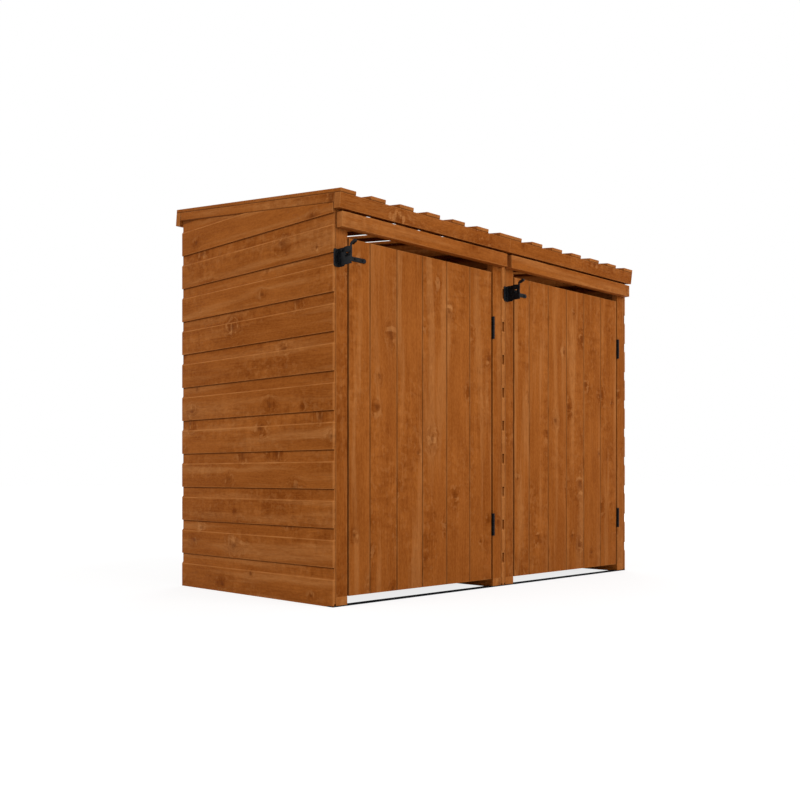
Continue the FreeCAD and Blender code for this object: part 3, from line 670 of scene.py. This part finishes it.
# %% Timber of both stores
FORWARDS, BACKWARDS, UPWARDS = (0, -1, 0), (0, 1, 0), (0, 0, 1)
LEFTWARDS, RIGHTWARDS = (-1, 0, 0), (1, 0, 0)
WALLS = {"latch_side_boards": LEFTWARDS, "hinge_side_boards": RIGHTWARDS,
         "back_boards": BACKWARDS}
FRAMING = {"latch_front_post": FORWARDS, "latch_back_post": FORWARDS,
           "hinge_front_post": FORWARDS, "hinge_back_post": FORWARDS,
           "latch_bottom_rail": UPWARDS, "hinge_bottom_rail": UPWARDS,
           "latch_top_rail": UPWARDS, "hinge_top_rail": UPWARDS,
           "back_rails": FORWARDS, "header_rail": FORWARDS, "roof_front_rail": FORWARDS,
           "roof_back_rail": BACKWARDS, "roof_latch_rail": UPWARDS, "roof_hinge_rail": UPWARDS}
SHADES = {"latch_front_post": -0.3, "hinge_front_post": 0.3, "roof_front_rail": -0.5,
          "header_rail": 0.6}
count = 0
for store in STORES:
    for word, out in WALLS.items():
        count += timber_piece("%s_%s" % (store, word), "frame", "wall_boards", out, level=True)
    for word, out in FRAMING.items():
        count += timber_piece("%s_%s" % (store, word), "frame", "framing_timber", out,
                              shade=SHADES.get(word))
    count += timber_piece("%s_roof_slats" % store, "frame", "roof_slats", UPWARDS)
    for word in ("door_frame", "door_brace"):
        count += timber_piece("%s_%s" % (store, word), "door_" + store, "framing_timber", FORWARDS)
print("boards eased:", count)

# %% [markdown]
# ## Door boards
# A door is made of tongued and grooved boards, 114 mm wide, with bevelled edges that meet in small
# V joints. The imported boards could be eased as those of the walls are, but these are plain enough
# to model by hand, as they are made: a cube has its front edges bevelled, it is cut all round at
# two depths, and the strips between the cuts are extruded, outwards for the tongue and inwards for
# the groove. The first board at the latch is ripped narrower, so it has no groove, and the last
# one at the hinges has lost its tongue.

# %% Door sizes
DOOR_LOW, DOOR_HIGH = 0.028, 1.075
DOOR_LEFT, DOOR_RIGHT = 0.061, 0.717                # from the store's left edge
BOARD_WIDE, BOARD_THICK = 0.114, 0.012
V_JOINT = 0.0015
TONGUE_FROM, TONGUE_TO = 0.004, 0.008               # depths behind the front of the door
TONGUE_LONG, TONGUE_PLAY = 0.005, 0.0002
BOARDS = math.ceil((DOOR_RIGHT - DOOR_LEFT) / BOARD_WIDE)
MIDDLE = FRONT + (TONGUE_FROM + TONGUE_TO) / 2
NEAR = 0.0001                                       # places nearer than this are the same
FACING = 0.9                                        # a normal that reaches this looks that way
print("boards in a door:", BOARDS)


# %% One door board
def slide_strip(board, side, distance):
    """Extrudes the strip in the middle of one side of a board along X."""
    pick_faces(board.data, lambda face: face.normal.x * side > FACING
               and abs(face.center.y - MIDDLE) < NEAR)
    with editing(board):
        bpy.ops.mesh.extrude_region_move(TRANSFORM_OT_translate={"value": (distance, 0, 0)})


def door_board(number):
    """One board of the left door, counted from the latch."""
    right = STORES["left"] + DOOR_RIGHT - (BOARDS - 1 - number) * BOARD_WIDE
    left = max(right - BOARD_WIDE, STORES["left"] + DOOR_LEFT)
    first, last = number == 0, number == BOARDS - 1
    bpy.ops.object.select_all(action="DESELECT")
    bpy.ops.mesh.primitive_cube_add(
        size=1, location=((left + right) / 2, FRONT + BOARD_THICK / 2, (DOOR_LOW + DOOR_HIGH) / 2),
        scale=(right - left, BOARD_THICK, DOOR_HIGH - DOOR_LOW))
    board = bpy.context.object
    board.name = "door_board_%d" % (number + 1)
    bpy.ops.object.transform_apply(location=True, rotation=True, scale=True)
    for x in (right,) if first else (left, right):
        pick_edges(board.data, lambda co: abs(co.x - x) < NEAR and co.y < FRONT + NEAR)
        with editing(board, "EDGE"):
            bpy.ops.mesh.bevel(offset=V_JOINT, segments=1)
    for depth in (TONGUE_FROM, TONGUE_TO):
        with editing(board):
            bpy.ops.mesh.select_all(action="SELECT")
            bpy.ops.mesh.bisect(plane_co=(0, FRONT + depth, 0), plane_no=(0, 1, 0))
    if not last:
        slide_strip(board, 1, TONGUE_LONG)
    if not first:
        slide_strip(board, -1, TONGUE_LONG + TONGUE_PLAY)
    return board


# %% Both doors
DOOR_EDGE = 0.0005
DOOR_SHADES = (0.3, 0.7)
for store, offset in STORES.items():
    boards = [door_board(number) for number in range(BOARDS)]
    for board in boards:
        ease(board, DOOR_EDGE)
        map_grain(board, Vector(FORWARDS), shade=draws.uniform(*DOOR_SHADES))
    only(*boards)
    bpy.ops.object.join()
    door = bpy.context.object
    door.name = "%s_door_boards_eased" % store
    door.location.x = offset - STORES["left"]
    bpy.ops.object.transform_apply(location=True, rotation=False, scale=False)
    finish_piece(door, TIMBER["door_boards"], "door_" + store, "door_boards",
                 "%s_door_boards" % store)
    print(door.name, "has", len(boards), "boards")

# %% [markdown]
# ## Steel
# The catch is a bent angle of sheet steel, and so is the strap of the striker, so their corners
# are rounded where the sheet was folded: a small radius inside the bend and a larger one outside.
# All the other edges are only broken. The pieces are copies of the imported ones, whose slots,
# holes and knuckles are right already. The hinge pins stay as they are and only get the coat.

# %% Bends
# The places are measured from the store's left edge and from the front of the posts.
CATCH_INSIDE, CATCH_OUTSIDE = (0.0215, -0.0025), (0.024, 0.0)
STRAP_INSIDE, STRAP_OUTSIDE = (0.040, -0.0033), (0.037, -0.0003)


def round_bend(piece, offset, corner, radius):
    """Rounds one upright corner of a piece of the store that starts at the offset."""
    x, y = offset + corner[0], FRONT + corner[1]
    pick_edges(piece.data, lambda co: abs(co.x - x) < 2 * NEAR and abs(co.y - y) < 2 * NEAR)
    with editing(piece, "EDGE"):
        bpy.ops.mesh.bevel(offset=radius, segments=4)


# %% Hinges, latches and bar
SHEET_EDGE, BAR_EDGE = 0.0003, 0.0004
for store, offset in STORES.items():
    catch = clean_copy("%s_latch_plate" % store)
    round_bend(catch, offset, CATCH_INSIDE, radius=0.0018)
    round_bend(catch, offset, CATCH_OUTSIDE, radius=0.0022)
    striker = clean_copy("%s_striker" % store)
    round_bend(striker, offset, STRAP_INSIDE, radius=0.0015)
    round_bend(striker, offset, STRAP_OUTSIDE, radius=0.0025)
    lever = clean_copy("%s_latch_lever" % store)
    post_leaves = clean_copy("%s_hinge_post_leaves" % store)
    door_leaves = clean_copy("%s_hinge_door_leaves" % store)
    for piece, body, slot, word in (
            (catch, "frame", "latch_steel", "latch_plate"),
            (lever, "latch_lever_" + store, "latch_steel", "latch_lever"),
            (striker, "door_" + store, "latch_steel", "striker"),
            (post_leaves, "frame", "hinge_steel", "hinge_post_leaves"),
            (door_leaves, "door_" + store, "hinge_steel", "hinge_door_leaves")):
        ease(piece, SHEET_EDGE)
        finish_piece(piece, STEEL[slot], body, slot, "%s_%s" % (store, word))
    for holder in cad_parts["%s_hinge_pins" % store].material_slots:
        holder.material = STEEL["hinge_steel"]
for node, slot in (("latch_pivots", "latch_steel"), ("ground_bar", "steel_bar")):
    piece = clean_copy(node)
    ease(piece, BAR_EDGE)
    finish_piece(piece, STEEL[slot], "frame", slot, node)
print("steel pieces eased")

# %% [markdown]
# ## Screws
# Two kinds are used: round heads on the latch, in two lengths, and sunk heads in the hinges. Each
# is modelled once, standing upright with its head on top, and copied to its places. The cross
# recess is cut by a Boolean: a bump would not catch the light as a real cut does. Every copy is
# turned a little differently, as a hand with a driver leaves them.

# %% Screw sizes
SIDES = 24
HEAD, SHANK = 0.0036, 0.0018                        # radii
ROUND_RIM, ROUND_TOP = 0.0011, 0.0022               # heights of the rim and top of a round head
DOME = ((0.0005, 0.0006), (0.0007, 0.0004), (0.0009, 0.0001))       # steps inwards and up
SUNK_DEEP = 0.0018
BLADE = (0.0040, 0.0008, 0.0022)                    # length, width and depth of the recess
print("heads %.1f mm wide" % (2000 * HEAD))


# %% Recess and shank
def recess(screw, top):
    """Cuts a cross recess into the head of a screw."""
    for turn in (0, 90):
        bpy.ops.object.select_all(action="DESELECT")
        bpy.ops.mesh.primitive_cube_add(size=1, location=(0, 0, top),
                                        rotation=(0, 0, math.radians(turn)), scale=BLADE)
        blade = bpy.context.object
        bpy.ops.object.transform_apply(location=True, rotation=True, scale=True)
        only(screw)
        cut = screw.modifiers.new("recess", "BOOLEAN")
        cut.operation = "DIFFERENCE"
        cut.solver = "EXACT"
        cut.object = blade
        bpy.ops.object.modifier_apply(modifier=cut.name)
        bpy.data.objects.remove(blade)


def draw_shank(screw, narrower, length):
    """Narrows the lowest face of a screw and draws it down to a shank."""
    lowest = min(face.center.z for face in screw.data.polygons)
    pick_faces(screw.data, lambda face: face.center.z < lowest + NEAR
               and face.normal.z < -FACING)
    with editing(screw):
        if narrower:
            bpy.ops.mesh.inset(thickness=narrower)
        bpy.ops.mesh.extrude_region_move(TRANSFORM_OT_translate={"value": (0, 0, -length)})


# %% One screw of each kind
def round_screw(grip, length):
    """A round-headed screw. Its head sits on what it grips, at that height above zero."""
    bpy.ops.object.select_all(action="DESELECT")
    bpy.ops.mesh.primitive_cylinder_add(vertices=SIDES, radius=HEAD, depth=ROUND_RIM,
                                        location=(0, 0, grip + ROUND_RIM / 2))
    screw = bpy.context.object
    bpy.ops.object.transform_apply(location=True, rotation=True, scale=True)
    draw_shank(screw, HEAD - SHANK, grip + length)
    pick_faces(screw.data, lambda face: face.normal.z > FACING and face.center.z > grip)
    with editing(screw):
        for inwards, rise in DOME:
            bpy.ops.mesh.inset(thickness=inwards, depth=rise)
    recess(screw, grip + ROUND_TOP)
    return screw


def sunk_screw(length):
    """A sunk screw whose head tapers down to zero."""
    bpy.ops.object.select_all(action="DESELECT")
    bpy.ops.mesh.primitive_cone_add(vertices=SIDES, radius1=SHANK, radius2=HEAD, depth=SUNK_DEEP,
                                    location=(0, 0, SUNK_DEEP / 2))
    screw = bpy.context.object
    bpy.ops.object.transform_apply(location=True, rotation=True, scale=True)
    draw_shank(screw, 0, length)
    recess(screw, SUNK_DEEP)
    return screw


catch_screw = round_screw(grip=0.0025, length=0.018)
strap_screw = round_screw(grip=0.0033, length=0.010)
hinge_screw = sunk_screw(length=0.018)
print("faces of a round screw:", len(catch_screw.data.polygons))

# %% [markdown]
# The screws of a hinge sit in the two edges that face each other beside the door, so their heads
# look to the left on the post and to the right on the door. Those of the latch look forwards.

# %% Places of the screws
CATCH_X, CATCH_HEIGHTS = 0.01675, (0.9944, 1.0256)
STRAP_XS, STRAP_HEIGHT = (0.085, 0.115), 1.0165
POST_LEAF_X, DOOR_LEAF_X = 0.724, DOOR_RIGHT
HINGES, LEAF_STEPS, LEAF_BEHIND = (0.214, 0.885), (-0.027, 0, 0.027), 0.016
LEAF_HEIGHTS = [middle + step for middle in HINGES for step in LEAF_STEPS]
OUT_FRONT = (math.radians(90), 0, 0)
OUT_LEFT = (0, math.radians(-90), 0)
OUT_RIGHT = (0, math.radians(90), 0)
FRAME_SCREWS = [(catch_screw, CATCH_X, 0, z, OUT_FRONT) for z in CATCH_HEIGHTS]
FRAME_SCREWS += [(hinge_screw, POST_LEAF_X, LEAF_BEHIND, z, OUT_LEFT) for z in LEAF_HEIGHTS]
DOOR_SCREWS = [(strap_screw, x, 0, STRAP_HEIGHT, OUT_FRONT) for x in STRAP_XS]
DOOR_SCREWS += [(hinge_screw, DOOR_LEAF_X, LEAF_BEHIND, z, OUT_RIGHT) for z in LEAF_HEIGHTS]
print("screws in a store:", len(FRAME_SCREWS) + len(DOOR_SCREWS))


# %% Placing the screws
def place_screws(name, stores, places):
    """Copies the screws to their places in some stores and joins them."""
    copies = []
    for store in stores:
        for model, x, y, z, direction in places:
            screw = bpy.data.objects.new("screw", model.data.copy())
            scene.collection.objects.link(screw)
            screw.matrix_world = (
                Matrix.Translation((STORES[store] + x, FRONT + y, z))
                @ Matrix.Rotation(direction[0], 4, "X") @ Matrix.Rotation(direction[1], 4, "Y")
                @ Matrix.Rotation(draws.uniform(0, math.pi), 4, "Z"))
            copies.append(screw)
    only(*copies)
    bpy.ops.object.transform_apply(location=True, rotation=True, scale=True)
    bpy.ops.object.join()
    joined = bpy.context.object
    joined.name = name
    only(joined)
    bpy.ops.object.shade_smooth_by_angle(angle=SMOOTH)
    return joined


finish_piece(place_screws("frame_screws_recessed", STORES, FRAME_SCREWS), STEEL["screws"],
             "frame", "screws", "frame_screws")
for store in STORES:
    finish_piece(place_screws("%s_door_screws_recessed" % store, [store], DOOR_SCREWS),
                 STEEL["screws"], "door_" + store, "screws", "%s_door_screws" % store)
for model in (catch_screw, strap_screw, hinge_screw):
    bpy.data.objects.remove(model)
print("screws placed:", len(STORES) * (len(FRAME_SCREWS) + len(DOOR_SCREWS)))

# %% [markdown]
# ## Stage and light
# The store stands on a plain pale floor. The light is even and soft, as under an overcast sky,
# with three large lamps: one in front of the doors, a weaker one on the left, so that the doors
# come out a little brighter than the side, and one behind on the right, for the two walls that the
# others don't reach. What the camera sees behind the store is white paper: that white belongs to
# the rays of the camera and of reflections alone and puts no light on the store. The floor's own
# glow hides all but a faint shadow.

# %% Floor
FLOOR_SIZE = 60
GLOW_NEAR, GLOW_FAR = (0.80, 0.80, 0.80, 1), (1, 1, 1, 1)
GLOW_FROM, GLOW_TO = 1.3, 3.0                       # metres from the middle of the stores
SHADOW_GREY = (0.28, 0.28, 0.28, 1)
FLOOR_GREY = (0.70, 0.69, 0.68, 1)                  # what throws light back at the store


def paper_rays(finish):
    """1 for the rays that show white paper: those of the camera, of gloss and of glass."""
    rays = finish.node("LightPath", {}, {})
    return rays["Is Camera Ray"].at_least(rays["Is Glossy Ray"]).at_least(
        rays["Is Transmission Ray"])


bpy.ops.object.select_all(action="DESELECT")
bpy.ops.mesh.primitive_plane_add(size=FLOOR_SIZE)
floor = bpy.context.object
floor.name = "floor"
material = bpy.data.materials.new("pale floor")
paper = Finish(material)
place = paper.parts(paper.node("TexCoord", {}, {})["Object"])
away = paper.length(place[0], place[1]).from_to(GLOW_FROM, GLOW_TO)
glow = paper.mix(away, GLOW_NEAR, GLOW_FAR)
glowing = paper.node("Emission", {}, {"Color": glow})["Emission"]
shaded = paper.node("BsdfDiffuse", {}, {"Color": SHADOW_GREY})["BSDF"]
seen = paper.node("AddShader", {}, {0: shaded, 1: glowing})["Shader"]
unseen = paper.node("BsdfDiffuse", {}, {"Color": FLOOR_GREY})["BSDF"]
shown = paper.node("MixShader", {}, {0: paper_rays(paper), 1: unseen, 2: seen})["Shader"]
paper.feed(paper.tree.nodes["Material Output"].inputs["Surface"], shown)
floor.data.materials.append(material)
print("floor laid")

# %% Sky
SKY = 0.50
scene.world = bpy.data.worlds.new("even sky")
sky = Finish(scene.world, "Background")
sky.set({"Color": (1, 1, 1, 1), "Strength": paper_rays(sky) * (1 - SKY) + SKY})
print("sky strength", SKY)

# %% Lamps
LAMP_SIZE = 3.0
LAMPS_LOOK_AT = Vector((0, 0, 0.6))
LAMPS = {"front lamp": ((0.3, -4.4, 2.2), 95), "side lamp": ((-4.4, 0.4, 2.4), 54),
         "back lamp": ((4.0, 3.4, 2.4), 95)}        # places, and powers in watts
for name, (place, power) in LAMPS.items():
    light = bpy.data.lights.new(name, "AREA")
    light.size = LAMP_SIZE
    light.energy = power
    lamp = bpy.data.objects.new(name, light)
    lamp.location = place
    lamp.rotation_euler = (LAMPS_LOOK_AT - Vector(place)).to_track_quat("-Z", "Y").to_euler()
    scene.collection.objects.link(lamp)
print("lamps placed:", len(LAMPS))
